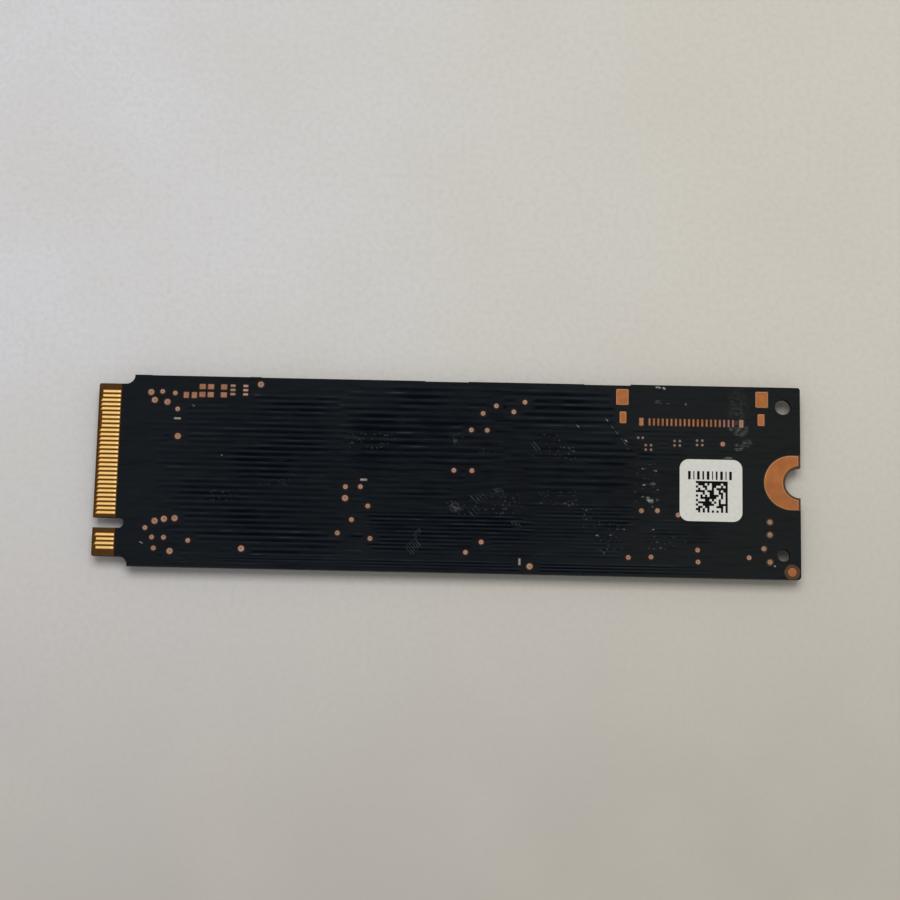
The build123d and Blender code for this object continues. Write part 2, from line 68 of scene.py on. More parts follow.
class Wire:
    """One output of a shader node: sums of wires and numbers become Math nodes of the same material."""

    def __init__(self, tree, socket=None):
        self.tree = tree
        self.socket = socket

    def node(self, kind, settings=None, inputs=None, output=0):
        """Any node: its settings are set first, then each socket that is named gets a value or a link."""
        made = self.tree.nodes.new("ShaderNode" + kind)
        for name, value in (settings or {}).items():
            setattr(made, name, value)
        for name, value in (inputs or {}).items():
            if isinstance(value, Wire):
                self.tree.links.new(value.socket, made.inputs[name])
            else:
                made.inputs[name].default_value = value
        return Wire(self.tree, made.outputs[output] if made.outputs else None)

    def maths(self, operation, *values, clamp=False):
        settings = {"operation": operation, "use_clamp": clamp}
        return self.node("Math", settings, dict(enumerate(values)))

    def __add__(self, other):
        return self.maths("ADD", self, other)

    def __radd__(self, other):
        return self.maths("ADD", other, self)

    def __sub__(self, other):
        return self.maths("SUBTRACT", self, other)

    def __rsub__(self, other):
        return self.maths("SUBTRACT", other, self)

    def __mul__(self, other):
        return self.maths("MULTIPLY", self, other)

    def __rmul__(self, other):
        return self.maths("MULTIPLY", other, self)

    def __truediv__(self, other):
        return self.maths("DIVIDE", self, other)

    def __rtruediv__(self, other):
        return self.maths("DIVIDE", other, self)

    def between(self, low, high):
        """0 below the low value, 1 above the high one and a smooth step from one to the other."""
        return self.node("MapRange", {"interpolation_type": "SMOOTHSTEP"}, {0: self, 1: low, 2: high})

    def blend(self, first, second):
        """The first colour where this wire is 0 and the second where it is 1."""
        return self.node("Mix", {"data_type": "RGBA"}, {0: self, 6: first, 7: second}, 2)

    def place(self):
        """Where a point lies on the card, in millimetres."""
        spot = self.node("TexCoord", {}, {}, "Object")
        return self.node("VectorMath", {"operation": "SCALE"}, {0: spot, "Scale": 1 / mm})

    def axis(self, name):
        """One coordinate of a place or a direction."""
        return self.node("SeparateXYZ", {}, {0: self}, name)

    def flatness(self, steep, level):
        """1 on faces that lie level and 0 on steep ones, by how upright their direction is."""
        upright = self.node("NewGeometry", {}, {}, "Normal").axis("Z")
        return self.maths("ABSOLUTE", upright).between(steep, level)

    def noise(self, spot, scale, detail=2.0):
        return self.node("TexNoise", {}, {"Vector": spot, "Scale": scale, "Detail": detail})

    def stretched(self, spot, along, across):
        """Places drawn out along the card, so that a noise on them runs in streaks."""
        return self.node("VectorMath", {"operation": "MULTIPLY"}, {0: spot, 1: (along, across, 1.0)})

    def bump(self, height, strength, distance):
        sockets = {"Height": height, "Strength": strength, "Distance": distance}
        return self.node("Bump", {}, sockets)


def colour(red, green, blue):
    """A colour as it looks on a screen, 0 to 255, in the linear values that a shader takes."""
    values = [value / 255 for value in (red, green, blue)]
    return (*[((value + 0.055) / 1.055) ** 2.4 if value > 0.04 else value / 12.92 for value in values], 1.0)


def finish(name, paint):
    """A material: paint adds its nodes from a first wire and gives the sockets of its shader."""
    made = bpy.data.materials.new(name)
    made.use_nodes = True
    made.node_tree.nodes.clear()
    start = Wire(made.node_tree)
    shader = start.node("BsdfPrincipled", {}, paint(start))
    start.node("OutputMaterial", {}, {"Surface": shader})
    return made


def paint_laminate(start):
    spot = start.place()
    along = spot.axis("X")
    turns = 2 * math.pi / thread_pitch
    warp = along.maths("SINE", along * turns)
    weft = along.maths("SINE", spot.axis("Y") * turns)
    cloth = (warp * weft * 0.5 + 0.5) * 0.35 + start.noise(spot, 2.2, 3.0) * 0.65
    weave = cloth.between(0.2, 0.8)
    tongue = weave.blend(colour(58, 33, 2), colour(82, 51, 9))
    window = weave.blend(colour(34, 11, 4), colour(50, 18, 7))
    screw_end = weave.blend(colour(66, 46, 30), colour(92, 66, 44))
    bare = along.between(*tongue_fade).blend(tongue, window)
    bare = along.between(*screw_end_fade).blend(bare, screw_end)
    # The steep cut edges are painted near-black brown: painted shade for side walls that lie in shade.
    cut_edge_painted_shade = colour(34, 24, 16)
    return {
        "Base Color": start.flatness(0.3, 0.8).blend(cut_edge_painted_shade, bare),
        "Roughness": 0.5 + cloth * 0.2,
        "Specular IOR Level": 0.12,
        "Normal": start.bump(cloth, 0.3, 0.01 * mm),
    }


laminate = finish("laminate", paint_laminate)


def wear(node, material):
    """A piece of the solid model shows as it is, in this material."""
    worn = nodes[node].data.materials
    worn.clear()
    worn.append(material)


wear("board_laminate", laminate)

# Lacquer: a skin of black resin on both faces, printed on with a window over every bare land, and cured.
# It is greyer in streaks and at the screw end, and rubbed pale here and there. The rear skin has round
# windows at the round pads.
contact_edge = cad_low.x / mm
weld_distance = 0.0001 * mm


def outlines(node):
    """Closed outlines of the upper face of a flat piece, as lists of points in millimetres."""
    work = bmesh.new()
    work.from_mesh(nodes[node].data)
    bmesh.ops.remove_doubles(work, verts=work.verts, dist=weld_distance)
    work.normal_update()
    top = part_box(node)[1].z
    following = {}
    for edge in work.edges:
        upper = [face for face in edge.link_faces if face.normal.z > 0.9]
        upper = [face for face in upper if abs(face.verts[0].co.z - top) < 10 * weld_distance]
        if len(upper) == 1:
            loop = next(corner for corner in upper[0].loops if corner.edge == edge)
            following[loop.vert] = loop.link_loop_next.vert
    found = []
    while following:
        first, point = following.popitem()
        loop = [first]
        while point is not first:
            loop.append(point)
            point = following.pop(point)
        found.append([Vector((corner.co.x / mm, corner.co.y / mm)) for corner in loop])
    work.free()
    return found


def middle(loop):
    """Middle and half size of an outline's box."""
    low = Vector((min(point.x for point in loop), min(point.y for point in loop)))
    high = Vector((max(point.x for point in loop), max(point.y for point in loop)))
    return (low + high) / 2, (high - low) / 2


def circle(centre, radius, count=36):
    """Points evenly round a circle."""
    turns = [2 * math.pi * step / count for step in range(count)]
    return [centre + Vector((math.cos(turn), math.sin(turn))) * radius for turn in turns]


def piece(name, mesh, material, slot, *replaced):
    """A finished piece of the card, in its material and in place of pieces of the solid model."""
    made = bpy.data.objects.new(name, mesh)
    mesh.materials.append(material)
    bpy.context.scene.collection.objects.link(made)
    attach(made, "root")
    if replaced:
        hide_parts(*replaced)
    return made


def flat_sheet(name, loops, low, high):
    """A flat sheet between two heights, from its outline and those of its windows."""
    drawn = bpy.data.curves.new(name, "CURVE")
    drawn.dimensions = "2D"
    drawn.fill_mode = "BOTH"
    drawn.extrude = (high - low) / 2
    for loop in loops:
        line = drawn.splines.new("POLY")
        line.points.add(len(loop) - 1)
        for point, place in zip(line.points, loop):
            point.co = (place.x, place.y, 0.0, 1.0)
        line.use_cyclic_u = True
    holder = bpy.data.objects.new(name, drawn)
    mesh = bpy.data.meshes.new_from_object(holder)
    bpy.data.objects.remove(holder)
    mesh.transform(Matrix.Scale(mm, 4) @ Matrix.Translation((0, 0, (low + high) / 2)))
    mesh.name = name
    return mesh


# Marks on the rear lacquer: place from the contact edge, half length, half width, slant in degrees, strength
scuffs = [
    (63.85, 10.72, 0.42, 0.13, -6, 4.0),
    (64.5, 10.64, 0.22, 0.14, -40, 4.0),
    (64.3, 8.9, 1.1, 0.06, -3, 0.5),
    (63.8, 9.15, 0.5, 0.07, 0, 0.4),
    (72.9, 8.6, 1.5, 2.6, 0, 0.05),
    (73.0, 8.0, 0.8, 0.9, 0, 0.1),
    (73.2, 6.2, 1.1, 1.3, 0, 0.22),
    (72.4, 6.05, 0.6, 0.3, 0, 0.3),
    (73.0, 3.95, 0.6, 0.6, 0, 0.4),
    (73.9, 4.4, 0.8, 0.6, 30, 0.24),
    (71.8, 2.7, 0.7, 0.18, 0, 0.5),
    (59.2, 5.3, 2.4, 0.06, -52, 0.5),
    (58.2, 6.6, 0.6, 0.07, -48, 1.6),
    (60.2, 4.45, 0.34, 0.08, -42, 1.6),
    (60.55, 3.4, 0.28, 0.07, -42, 1.2),
    (54.7, 6.05, 0.3, 0.09, -40, 1.0),
    (62.2, 1.3, 0.26, 0.12, 10, 1.2),
    (63.55, 1.05, 0.26, 0.12, -10, 1.1),
    (63.0, 1.85, 0.3, 0.14, 0, 0.4),
    (62.3, -0.6, 0.26, 0.12, 0, 1.4),
    (63.35, -0.4, 0.4, 0.24, -40, 0.5),
    (63.85, -1.15, 0.2, 0.1, -20, 1.0),
    (62.15, -1.95, 0.26, 0.1, 10, 1.2),
    (62.9, -2.3, 0.62, 0.36, -30, 1.0),
    (63.8, -2.3, 0.26, 0.16, 30, 1.0),
    (63.2, -3.05, 0.24, 0.12, -30, 0.8),
    (63.4, -5.7, 0.24, 0.1, -20, 1.2),
    (63.45, -6.5, 0.22, 0.1, -20, 0.9),
    (59.3, -5.7, 0.2, 0.08, 0, 0.9),
    (60.0, -5.7, 0.2, 0.08, 0, 0.9),
    (57.0, -6.45, 0.26, 0.12, 0, 0.7),
    (58.6, -6.4, 0.26, 0.12, 0, 0.7),
    (10.83, 7.55, 0.26, 0.16, 20, 3.0),
    (14.3, 1.87, 0.13, 0.13, 0, 0.6),
    (5.6, -8.35, 0.32, 0.11, -25, 0.6),
    (77.05, -9.55, 0.14, 0.12, 0, 1.2),
    (67.0, 8.85, 0.14, 0.18, 0, 0.7),
    (55.75, -4.6, 0.2, 0.16, 0, 0.8),
    (40.9, -3.6, 0.8, 0.7, 0, 0.2),
    (40.8, 4.2, 0.3, 0.8, 0, 0.2),
]
# Fields where the lacquer looks deep and bluish over dense lines, in the same form
deep_fields = [
    (21.0, 0.0, 14.0, 13.0, 0, 0.5),
    (44.0, 0.0, 20.0, 13.0, 0, 0.6),
    (18.8, 0.9, 2.8, 1.8, 0, 0.4),
    (22.4, 2.2, 2.6, 2.4, 0, 0.5),
    (31.6, 5.6, 4.4, 1.9, 0, 0.9),
    (31.2, 2.2, 3.8, 3.2, 0, 0.75),
    (33.0, 7.8, 2.8, 1.4, 0, 0.5),
    (36.9, 9.2, 2.1, 1.2, 0, 0.8),
    (38.4, 5.8, 3.2, 1.7, 0, 0.8),
    (33.4, -5.7, 3.0, 1.7, 0, 0.7),
    (25.0, -6.6, 2.8, 3.6, 0, 0.45),
    (36.2, -8.4, 4.2, 1.8, 0, 0.35),
    (44.4, -5.7, 4.6, 1.6, 0, 0.7),
    (46.2, 4.4, 1.8, 1.5, 0, 0.6),
    (58.0, 3.5, 3.4, 2.0, 0, 0.35),
    (59.6, -0.4, 5.4, 6.6, 0, 0.55),
    (66.0, -0.6, 3.4, 5.4, 0, 0.35),
    (52.5, -1.6, 2.8, 2.0, 0, 0.7),
    (57.8, -5.6, 2.8, 2.4, 0, 0.45),
    (67.4, -6.0, 4.0, 1.6, 0, 0.25),
]


def touched(spot, marks):
    """How much a place lies in one of the marks: 1 in the middle, fading to 0 at the rim."""
    along = spot.axis("X")
    across = spot.axis("Y")
    found = []
    for reach, rise, half_length, half_width, slant, strength in marks:
        turn = math.radians(slant)
        aside = along - (contact_edge + reach)
        above = across - rise
        lengthwise = (aside * math.cos(turn) + above * math.sin(turn)) / half_length
        sidewise = (above * math.cos(turn) - aside * math.sin(turn)) / half_width
        inside = 1.0 - (lengthwise * lengthwise + sidewise * sidewise)
        found.append(inside.between(0.0, 0.9) * strength)
    most = found[0]
    for mark in found[1:]:
        most = most.maths("MAXIMUM", most, mark)
    return most


# Tones of the lacquer, and where lines in it begin and cease to show, from the contact edge
streak_grey = colour(27, 31, 34)
thread_grey = colour(30, 34, 40)
thread_black = colour(5, 6, 11)
deep_blue = colour(4, 7, 14)
rubbed_pale = colour(140, 143, 142)
lines_start = (0.0, 12.0)
lines_end = (76.0, 60.0)


def lacquer_coat(contact_tone, screw_tone, gloss, marks, fields, relief=None):
    """Lacquer from one tone at the contacts to another at the screw, streaked along the card, deeper in some
    fields and scuffed pale in marks. A relief is the plain tone, patch tone and height of lines on it; on
    crests these tones are partly a painted highlight, in gaps partly painted shade."""

    def paint(start):
        spot = start.place()
        streaks = start.noise(start.stretched(spot, 0.12, 0.5), 1.0, 4.0)
        threads = start.noise(start.stretched(spot, 0.3, 2.6), 1.0, 3.0)
        tone = spot.axis("X").between(0.0, 38.0).blend(colour(*contact_tone), colour(*screw_tone))
        tone = (streaks.between(0.4, 0.65) * 0.3).blend(tone, streak_grey)
        tone = (threads.between(0.55, 0.75) * 0.25).blend(tone, thread_grey)
        tone = (threads.between(0.5, 0.28) * 0.3).blend(tone, thread_black)
        rough = 0.42 + streaks * 0.12
        if relief:
            crown, painted_patch_tone, height = relief
            along = spot.axis("X") - contact_edge
            clear = along.between(*lines_start) * along.between(*lines_end)
            fade = start.noise(start.stretched(spot, 0.3, 1.0), 1.0, 2.0).between(0.2, 0.55)
            risen = spot.axis("Z").between(lacquer_top, lacquer_top + height)
            # Relief tones are painted light: paler on crests as a painted highlight, darker in gaps as
            # painted shade, each partly the lacquer's own tone over the copper lines and over the resin
            # between them; the worn noise only sets where the patch tone shows.
            worn = start.noise(start.stretched(spot, 0.25, 1.7), 1.0, 3.0).between(0.53, 0.72)
            tone = (risen * fade * clear).blend(tone, worn.blend(colour(*crown), colour(*painted_patch_tone)))
        if fields:
            depth = touched(spot, fields) * threads.between(0.8, 0.3)
            tone = depth.blend(tone, deep_blue)
        if marks:
            grain = start.noise(start.stretched(spot, 0.8, 1.1), 2.6, 5.0).between(0.36, 0.68)
            pale = grain.maths("MULTIPLY", touched(spot, marks), grain, clamp=True)
            tone = pale.blend(tone, rubbed_pale)
            rough = rough + pale * 0.3
        return {
            "Base Color": tone,
            "Roughness": rough,
            "Specular IOR Level": gloss,
            "Normal": start.bump(start.noise(spot, 7.0, 2.0), 0.12, 0.004 * mm),
        }

    return paint


lacquer_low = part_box("rear_solder_mask")[0].z / mm
lacquer_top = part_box("rear_solder_mask")[1].z / mm
tone_ends = ((19, 23, 28), (27, 30, 30))
lacquer_gloss = 0.02
wear("front_solder_mask", finish("front_lacquer", lacquer_coat(*tone_ends, lacquer_gloss, [], [])))
pad_outlines = outlines("rear_test_pads")
pad_corners = len(pad_outlines[0])
window_margin = 0.06


def true_round(loop, margin=0.0):
    """A pad or its window, many-sided in the solid model, as the circle that its sides touch."""
    centre, half = middle(loop)
    if len(loop) == pad_corners and abs(half.x - half.y) < 0.01:
        return circle(centre, half.x * math.cos(math.pi / pad_corners) + margin)
    return loop


lacquer_outlines = [true_round(loop, window_margin) for loop in outlines("rear_solder_mask")]
rear_lacquer = flat_sheet("rear_lacquer", lacquer_outlines, lacquer_low, lacquer_top)
lacquer = finish("lacquer", lacquer_coat(*tone_ends, lacquer_gloss, scuffs, deep_fields))
piece("rear_lacquer", rear_lacquer, lacquer, "solder_mask", "rear_solder_mask")

# Lines under the lacquer: etched copper lines lie side by side along the card, in grids of one pitch each.
# The lacquer stands up over them in low crests, painted paler (partly its own tone over copper, partly a
# painted highlight), and is painted darker in the gaps (partly its tone over bare resin, partly painted
# shade); it is one skin with the rest.
# Each grid: start and end from the contact edge, highest and lowest gap, and pitch
line_grids = [
    (7.0, 29.5, 8.6, -9.8, 0.655),
    (28.4, 46.5, 9.9, 0.6, 0.775),
    (30.5, 41.5, -0.2, -3.4, 0.64),
    (30.5, 49.0, -3.9, -9.3, 0.46),
    (46.0, 60.6, 9.7, -2.2, 0.795),
    (48.4, 61.0, -3.2, -9.2, 0.44),
    (9.5, 70.0, -9.9, -10.7, 0.36),
    (61.4, 73.0, 5.6, 1.6, 0.53),
    (62.0, 72.0, -4.8, -7.4, 0.45),
]
# Where the lines show most: place from the contact edge, half length, half width and strength
line_fields = [
    (18.8, 1.0, 3.6, 2.3, 0.7),
    (22.4, 3.2, 4.6, 3.2, 0.4),
    (22.0, 8.0, 6.0, 2.2, 0.4),
    (13.6, -2.6, 5.0, 2.0, 0.3),
    (16.4, -5.6, 8.0, 2.6, 0.35),
    (22.4, -8.2, 6.0, 2.2, 0.35),
    (32.0, 5.0, 5.0, 4.0, 0.4),
    (37.0, 8.9, 4.0, 1.6, 0.4),
    (38.2, 4.4, 3.8, 3.2, 0.35),
    (35.4, -6.4, 6.6, 2.4, 0.45),
    (44.4, -5.8, 5.4, 1.8, 0.6),
    (53.0, 8.0, 7.6, 2.2, 0.5),
    (57.4, 3.4, 4.4, 2.4, 0.3),
    (55.4, 0.2, 5.0, 2.0, 0.2),
    (57.8, -4.4, 4.0, 1.6, 0.35),
    (52.0, -10.3, 24.0, 1.0, 0.45),
]
chance = random.Random(7)
rise_jitter = 0.03
end_jitter = 1.5
gap_darkness = (0.7, 1.2)
gap_height = 0.004
gap_width = 0.3
gap_slope = 0.24
crest_height = 0.01
crest_width = 0.06
crest_slope = 0.13
faintest = 0.06
sunk = 0.001
widest_window = 3
bare_places = [middle(loop) for loop in lacquer_outlines]
bare_places = [(centre, half) for centre, half in bare_places if half.x < widest_window]


def shown(place):
    """How strongly the lines show through the lacquer at a place, up to 1."""
    patchiness = noise.noise(Vector((place.x * 0.2, place.y * 0.9, 0.0)))
    level = 0.27 + 0.5 * patchiness
    for reach, rise, half_length, half_width, strength in line_fields:
        lengthwise = (place.x - contact_edge - reach) / half_length
        sidewise = (place.y - rise) / half_width
        level += strength * max(0.0, 1.0 - lengthwise**4 - sidewise**4)
    return min(1.0, level)


def clear_runs(start, end, rise):
    """The parts of a line that keep clear of every window of the lacquer and aren't too short."""
    margin = 0.2
    shortest = 0.5
    stops = [
        (centre.x - half.x - margin, centre.x + half.x + margin)
        for centre, half in bare_places
        if abs(centre.y - rise) < half.y + margin
    ]
    runs = []
    for low, high in sorted(stops):
        if low > start:
            runs.append((start, min(low, end)))
        start = max(start, high)
    runs.append((start, end))
    return [(low, high) for low, high in runs if high - low > shortest]


def add_ridge(work, route, slope):
    """A low ridge along places with a width and a height each: it slopes up from the lacquer all round."""
    places = [place for place, width, height in route]
    rings = []
    for step, (place, width, height) in enumerate(route):
        heading = (places[min(step + 1, len(places) - 1)] - places[max(step - 1, 0)]).normalized()
        side = Vector((-heading.y, heading.x))
        crown = 0.0 if step in (0, len(route) - 1) else height
        half = width / 2
        section = [(-half - slope, 0.0), (-half, crown), (half, crown), (half + slope, 0.0)]
        ring = []
        for reach, level in section:
            spot = place + side * reach
            ring.append(work.verts.new((spot.x * mm, spot.y * mm, (lacquer_top + level - sunk) * mm)))
        rings.append(ring)
    for ring, beyond in zip(rings, rings[1:]):
        for step in range(4):
            after = (step + 1) % 4
            work.faces.new((ring[step], beyond[step], beyond[after], ring[after]))
    work.faces.new(rings[0])
    work.faces.new(reversed(rings[-1]))


def solid(name, work):
    """The mesh of a finished shape, with every face turned outwards."""
    bmesh.ops.recalc_face_normals(work, faces=work.faces)
    mesh = bpy.data.meshes.new(name)
    work.to_mesh(mesh)
    work.free()
    return mesh


def visible_runs(start, end, rise):
    """The parts of a line that show, as places with their strength."""
    stride = 0.7
    for low, high in clear_runs(start, end, rise):
        count = max(3, round((high - low) / stride))
        run = []
        for step in range(count + 1):
            place = Vector((low + (high - low) * step / count, rise))
            level = shown(place)
            if level > faintest:
                run.append((place, level))
            if run and (level <= faintest or step == count):
                if len(run) > 3:
                    yield run
                run = []


crests = bmesh.new()
gaps = bmesh.new()
for start, end, highest, lowest, pitch in line_grids:
    for index in range(int((highest - lowest) / pitch) + 1):
        rise = highest - index * pitch + chance.uniform(-rise_jitter, rise_jitter)
        begin = contact_edge + start + chance.uniform(-end_jitter, end_jitter)
        close = contact_edge + end + chance.uniform(-end_jitter, end_jitter)
        darkness = chance.uniform(*gap_darkness)
        for run in visible_runs(begin, close, rise):
            route = []
            for place, level in run:
                height = gap_height * min(1.0, 0.3 + 0.8 * level)
                route.append((place, gap_width * pitch * level * darkness, height))
            add_ridge(gaps, route, gap_slope * pitch)
        for run in visible_runs(begin, close, rise + pitch / 2):
            route = [(place, crest_width, crest_height * (0.3 + 0.7 * level)) for place, level in run]
            add_ridge(crests, route, crest_slope * pitch)
# Crest tones: paler than the lacquer, partly its own tone over copper and partly a painted highlight.
crest_relief = ((34, 40, 48), (60, 66, 75), crest_height)
crest_coat = lacquer_coat(*tone_ends, lacquer_gloss, scuffs, deep_fields, crest_relief)
crest_lacquer = finish("crest_lacquer", crest_coat)
# Gap tones: darker than the lacquer, partly its own tone over bare resin and partly painted shade.
gap_relief = ((2, 4, 9), (5, 7, 12), 0.9 * gap_height)
gap_gloss = 0.006
gap_lacquer = finish("gap_lacquer", lacquer_coat(*tone_ends, gap_gloss, [], deep_fields, gap_relief))
piece("lacquer_over_lines", solid("lacquer_over_lines", crests), crest_lacquer, "solder_mask")
piece("lacquer_between_lines", solid("lacquer_between_lines", gaps), gap_lacquer, "solder_mask")

# Plated holes and slanted copper lines under the lacquer, with which it is one skin: it stands over them in
# small humps and short slanted ridges, painted a little paler on top as a painted highlight (glint).
# Fields of humps: start and end from the contact edge, highest and lowest row, and pitch
humps = [
    (18.2, 22.2, -0.9, -1.4, 0.42),
    (12.2, 16.4, -2.3, -3.3, 0.48),
    (28.7, 34.0, 4.6, 2.6, 0.5),
    (40.4, 41.4, 5.0, 3.2, 0.45),
    (43.4, 45.8, 3.3, 2.4, 0.5),
    (40.1, 41.8, -3.0, -4.6, 0.42),
    (44.4, 48.4, -1.9, -4.4, 0.46),
    (49.2, 54.6, 3.6, 1.9, 0.45),
    (51.0, 53.4, 4.9, 3.6, 0.48),
    (50.4, 54.6, -1.6, -3.4, 0.46),
    (55.4, 57.2, -3.6, -5.9, 0.48),
    (56.6, 60.4, -5.2, -8.9, 0.48),
    (62.8, 65.4, -5.2, -8.0, 0.66),
    (61.4, 63.8, 1.8, -2.8, 0.55),
    (65.6, 67.6, -6.5, -7.7, 0.55),
]
# Slanted ridges: first place, run along and across, how many, and the step from one to the next
slants = [
    (36.3, -6.7, 0.45, -0.55, 4, 0.17, 0.21),
    (35.4, -8.2, 0.85, -1.0, 6, 0.19, 0.21),
    (49.3, 4.1, 0.95, -1.15, 2, 0.36, 0.06),
    (45.2, -1.3, 0.65, -0.6, 3, 0.34, 0.02),
    (42.6, -2.2, 0.9, -0.9, 4, 0.4, 0.12),
    (42.4, -3.9, 0.8, -0.8, 3, 0.36, 0.28),
    (47.3, -5.15, 0.45, -0.5, 3, 0.34, 0.0),
]


def paint_humps(start):
    spot = start.place()
    patchy = start.noise(spot, 0.45, 1.0)
    fine = start.noise(spot, 2.8, 2.0)
    # The paler hump tone is a painted glint, brighter towards the screw end, over a dark lacquer tone.
    painted_patch_tone = spot.axis("X").between(10.0, 18.0).blend(colour(48, 53, 62), colour(80, 84, 88))
    tone = patchy.between(0.46, 0.66).blend(colour(23, 27, 33), painted_patch_tone)
    return {
        "Base Color": fine.between(0.35, 0.7).blend(colour(16, 19, 24), tone),
        "Roughness": 0.4 + fine * 0.15,
        "Specular IOR Level": 0.08,
    }


hump_sides = 10
hump_length = 1.35
hump_radius = (0.07, 0.15)
hump_height = (0.012, 0.03)
hump_crown = 0.5
hump_drift = (0.14, 0.12)
hump_clearance = 0.3
left_bare = 0.35
work = bmesh.new()
for start, end, highest, lowest, pitch in humps:
    for row in range(int((highest - lowest) / pitch) + 1):
        for column in range(int((end - start) / pitch) + 1):
            stagger = 0.5 * (row % 2)
            spot = Vector((contact_edge + start + (column + stagger) * pitch, highest - row * pitch))
            spot += Vector([chance.uniform(-drift, drift) for drift in hump_drift])
            if chance.random() < left_bare:
                continue
            if not clear_runs(spot.x - hump_clearance, spot.x + hump_clearance, spot.y):
                continue
            radius = chance.uniform(*hump_radius)
            foot = lacquer_top - sunk
            crown = lacquer_top + chance.uniform(*hump_height)
            low_ring = []
            high_ring = []
            for way in circle(Vector((0.0, 0.0)), radius, hump_sides):
                way.x *= hump_length
                low_ring.append(work.verts.new((*((spot + way) * mm), foot * mm)))
                high_ring.append(work.verts.new((*((spot + way * hump_crown) * mm), crown * mm)))
            for step in range(hump_sides):
                side = (low_ring[step - 1], low_ring[step], high_ring[step], high_ring[step - 1])
                work.faces.new(side)
            work.faces.new(high_ring)
            work.faces.new(reversed(low_ring))
hump_mesh = solid("lacquer_over_holes", work)
piece("lacquer_over_holes", hump_mesh, finish("hump_lacquer", paint_humps), "solder_mask")


def paint_slants(start):
    fine = start.noise(start.place(), 2.2, 2.0)
    return {
        # The paler tone of the slanted ridges is a painted highlight on their tops.
        "Base Color": fine.between(0.4, 0.65).blend(colour(20, 24, 30), colour(54, 58, 62)),
        "Roughness": 0.4 + fine * 0.15,
        "Specular IOR Level": 0.08,
    }


slant_width = 0.04
slant_height = 0.02
slant_slope = 0.04
work = bmesh.new()
for first_x, first_y, run_x, run_y, count, step_x, step_y in slants:
    for index in range(count):
        begin = Vector((contact_edge + first_x + index * step_x, first_y + index * step_y))
        run = Vector((run_x, run_y)) * chance.uniform(0.8, 1.1)
        route = [(begin + run * part, slant_width, slant_height) for part in (0.0, 0.1, 0.9, 1.0)]
        add_ridge(work, route, slant_slope)
slant_mesh = solid("lacquer_over_slants", work)
piece("lacquer_over_slants", slant_mesh, finish("slant_lacquer", paint_slants), "solder_mask")

# Edge contacts: copper strips in a long and a short row on each face of the tongue, etched and then plated
# with hard gold. It is bright and a little brushed along the strip, with a painted highlight near the
# lacquer and painted shade in amber on the sloping sides.
strip_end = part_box("rear_main_contacts")[1].x / mm
strip_trim = 0.03
chamfer_width = 0.065
chamfer_drop = 0.02
# Near the lacquer each strip is painted paler: a painted highlight.
painted_tip_highlight = (strip_end - 0.5, strip_end - 0.05)


def paint_gold(start):
    spot = start.place()
    brushed = start.noise(start.stretched(spot, 1.2, 14.0), 1.0, 3.0)
    tone = brushed.between(0.3, 0.75).blend(colour(210, 177, 115), colour(226, 198, 144))
    tone = (spot.axis("X").between(*painted_tip_highlight) * 0.8).blend(tone, colour(233, 214, 172))
    # The sloping sides are painted amber: painted shade, for sides that lie in shade.
    painted_side_shade = colour(180, 123, 0)
    return {
        "Base Color": start.flatness(0.965, 0.995).blend(painted_side_shade, tone),
        "Metallic": 1.0,
        "Roughness": 0.54 + brushed * 0.12,
    }


gold = finish("gold", paint_gold)


def raised(name, loops, profile):
    """Closed islands on the given outlines: each step of the profile is a move inwards and a height."""
    work = bmesh.new()
    for loop in loops:
        count = len(loop)
        rings = []
        for inset, height in profile:
            ring = []
            for step, point in enumerate(loop):
                before = (point - loop[step - 1]).normalized()
                after = (loop[(step + 1) % count] - point).normalized()
                inwards = Vector((-before.y - after.y, before.x + after.x)).normalized()
                reach = inset / max(0.3, inwards.dot(Vector((-before.y, before.x))))
                spot = point + inwards * reach
                ring.append(work.verts.new((spot.x * mm, spot.y * mm, height * mm)))
            rings.append(ring)
        for ring, above in zip(rings, rings[1:]):
            for step in range(count):
                work.faces.new((ring[step - 1], ring[step], above[step], above[step - 1]))
        work.faces.new(rings[-1])
        work.faces.new(reversed(rings[0]))
    return solid(name, work)


def cut_short(loop):
    """The outline of a strip, ending a little before the lacquer."""
    return [Vector((min(point.x, strip_end - strip_trim), point.y)) for point in loop]


for node in ("rear_main_contacts", "rear_key_contacts"):
    low, high = (corner.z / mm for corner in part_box(node))
    strip_profile = [(0.0, low), (0.0, high - chamfer_drop), (chamfer_width, high)]
    strips = [cut_short(loop) for loop in outlines(node)]
    piece("gilt_" + node, raised("gilt_" + node, strips, strip_profile), gold, "gold", node)
for node in ("front_main_contacts", "front_key_contacts"):
    low, high = (corner.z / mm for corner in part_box(node))
    strip_profile = [(0.0, high), (0.0, low + chamfer_drop), (chamfer_width, low)]
    piece("gilt_" + node, raised("gilt_" + node, outlines(node), strip_profile), gold, "gold", node)

# Copper lands: bare copper in the windows of the lacquer, for the screw, the corner target and parts that
# were never fitted. They are etched flat with slightly rounded rims and have dulled, the smaller ones most.


